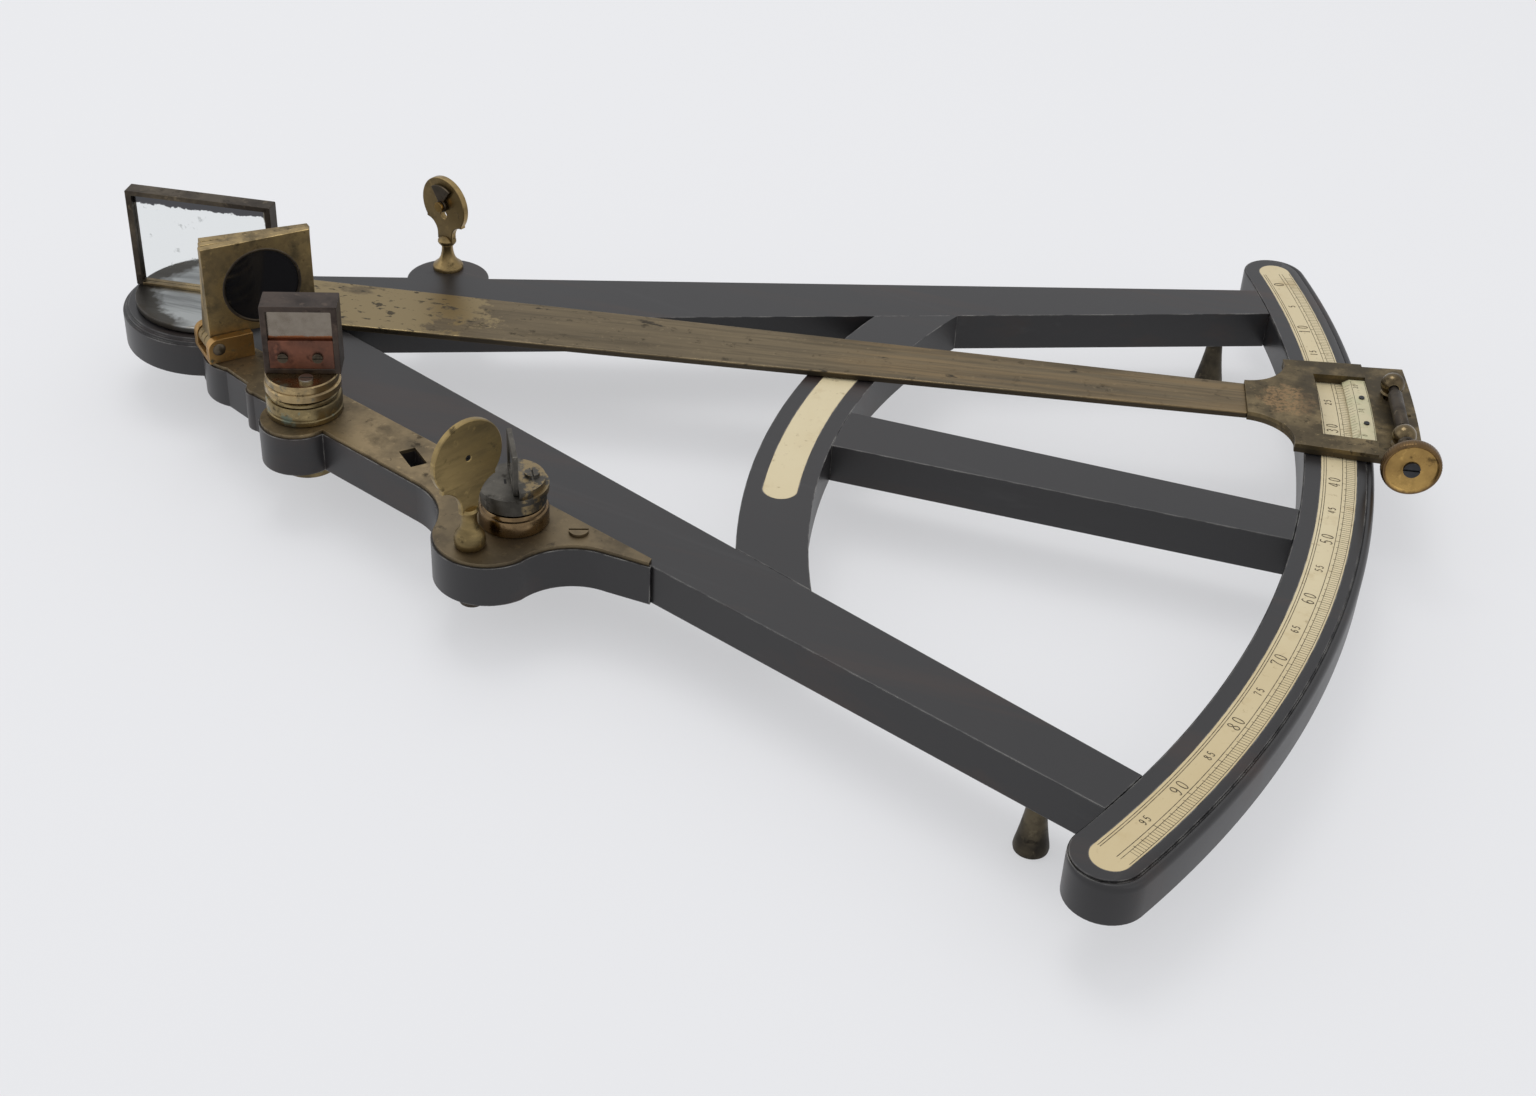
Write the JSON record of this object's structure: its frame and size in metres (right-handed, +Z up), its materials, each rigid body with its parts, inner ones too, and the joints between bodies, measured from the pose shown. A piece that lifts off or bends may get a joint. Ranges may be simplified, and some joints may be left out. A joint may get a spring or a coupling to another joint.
{
  "type": "octant",
  "caption": "Wooden sector frame with an ivory degree scale, a swinging brass index arm with vernier and tangent screw, mirrors, folding shades and sight vanes, for measuring angles.",
  "frame": {"origin": "on the index arm's pivot axis, at floor level under the apex foot", "axes": "+X along the frame's middle line to the arc, +Y to the zero end of the scale, +Z up from the floor"},
  "size_m": [0.4317, 0.3458, 0.0742],
  "materials": {
    "ebony": "satin ebony, rubbed at the edges",
    "ivory": "polished, yellowed and stained",
    "patinated_brass": "olive-brown patina with worn patches",
    "brass": "aged, golden where handled",
    "dark_brass": "dark lacquered brass",
    "steel": "blued and darkened",
    "mirror_glass": "silvered glass, worn at the edges",
    "shade_glass": "dark coloured glass"
  },
  "bodies": {
    "frame": {"apex_block": "ebony", "far_limb": "ebony", "near_limb": "ebony", "arc_limb": "ebony", "brace": "ebony", "centre_strut": "ebony", "near_cheek": "ebony", "ivory_scale": "ivory", "brace_plaque": "ivory", "mirror_plate": "brass", "plate_screw": "steel", "pivot_bush": "brass", "apex_foot": "brass", "far_foot": "brass", "near_foot": "brass", "fore_drum": "brass", "back_drum": "brass", "near_sight": "dark_brass", "near_sight_nut": "dark_brass", "far_sight": "dark_brass", "far_sight_nut": "dark_brass", "shutter_pin": "brass"},
    "far_shutter": {"far_shutter": "steel"},
    "index_arm": {"index_arm": "patinated_brass", "arm_end_frame": "patinated_brass", "vernier": "ivory", "vernier_pins": "steel", "screw_bearing": "brass", "pivot_shaft": "steel", "pivot_washer": "brass", "pivot_nut": "brass", "index_frame": "dark_brass", "index_glass": "mirror_glass", "index_back": "dark_brass", "index_bracket": "brass", "index_screws": "steel"},
    "tangent_screw": {"tangent_rod": "patinated_brass", "tangent_knob": "brass", "knob_screw": "steel"},
    "clamp": {"clamp_shoe": "patinated_brass", "clamp_post": "brass"},
    "clamp_screw": {"clamp_screw": "brass"},
    "shade_bracket": {"shade_bracket": "brass", "shade_pin": "steel"},
    "shade_front": {"shade_front": "brass", "front_glass": "shade_glass"},
    "shade_middle": {"shade_middle": "brass", "middle_glass": "shade_glass"},
    "shade_back": {"shade_back": "brass", "back_shade_glass": "shade_glass"},
    "fore_stand": {"fore_table": "brass", "fore_nut": "brass", "fore_frame": "dark_brass", "fore_glass": "mirror_glass", "fore_plate": "dark_brass", "fore_screws": "steel"},
    "back_stand": {"back_table": "brass", "back_nut": "brass", "back_frame": "dark_brass", "back_glass": "mirror_glass"}
  },
  "joints": [
    {"name": "index_swing", "type": "hinge", "parent": "frame", "child": "index_arm", "pos_m": [0, 0, 0.0315], "axis": [0, 0, 1], "range_deg": [-31.4, 13.5]},
    {"name": "tangent_spin", "type": "hinge", "parent": "index_arm", "child": "tangent_screw", "pos_m": [0.38463, 0.07302, 0.0378], "axis": [-0.1865, 0.9825, 0], "range_deg": [-1080, 1080]},
    {"name": "clamp_creep", "type": "hinge", "parent": "index_arm", "child": "clamp", "pos_m": [0, 0, 0.0181], "axis": [0, 0, 1], "range_deg": [-0.36, 0.36]},
    {"name": "clamp_screw_turn", "type": "hinge", "parent": "clamp", "child": "clamp_screw", "pos_m": [0.36437, 0.07978, 0.016], "axis": [0, 0, 1], "continuous": true},
    {"name": "bracket_lift", "type": "slide", "parent": "frame", "child": "shade_bracket", "axis": [0, 0, 1], "range_m": [0, 0.012]},
    {"name": "shade_front_swing", "type": "hinge", "parent": "shade_bracket", "child": "shade_front", "pos_m": [0.02222, -0.03726, 0.0375], "axis": [0.7431, -0.6691, 0], "range_deg": [0, 90]},
    {"name": "shade_middle_swing", "type": "hinge", "parent": "shade_bracket", "child": "shade_middle", "pos_m": [0.02222, -0.03726, 0.0375], "axis": [0.7431, -0.6691, 0], "range_deg": [0, 90]},
    {"name": "shade_back_swing", "type": "hinge", "parent": "shade_bracket", "child": "shade_back", "pos_m": [0.02222, -0.03726, 0.0375], "axis": [0.7431, -0.6691, 0], "range_deg": [0, 90]},
    {"name": "fore_turn", "type": "hinge", "parent": "frame", "child": "fore_stand", "pos_m": [0.0625, -0.054, 0.0401], "axis": [0, 0, 1], "range_deg": [-4, 4]},
    {"name": "back_turn", "type": "hinge", "parent": "frame", "child": "back_stand", "pos_m": [0.1465, -0.0854, 0.039], "axis": [0, 0, 1], "range_deg": [-3, 3]},
    {"name": "shutter_swing", "type": "hinge", "parent": "frame", "child": "far_shutter", "pos_m": [0.0623, 0.0498, 0.0556], "axis": [-0.342, -0.9397, 0], "range_deg": [0, 180]}
  ],
  "couplings": [
    {"joint": "clamp_creep", "follows": "tangent_spin", "ratio": 0.000325}
  ]
}
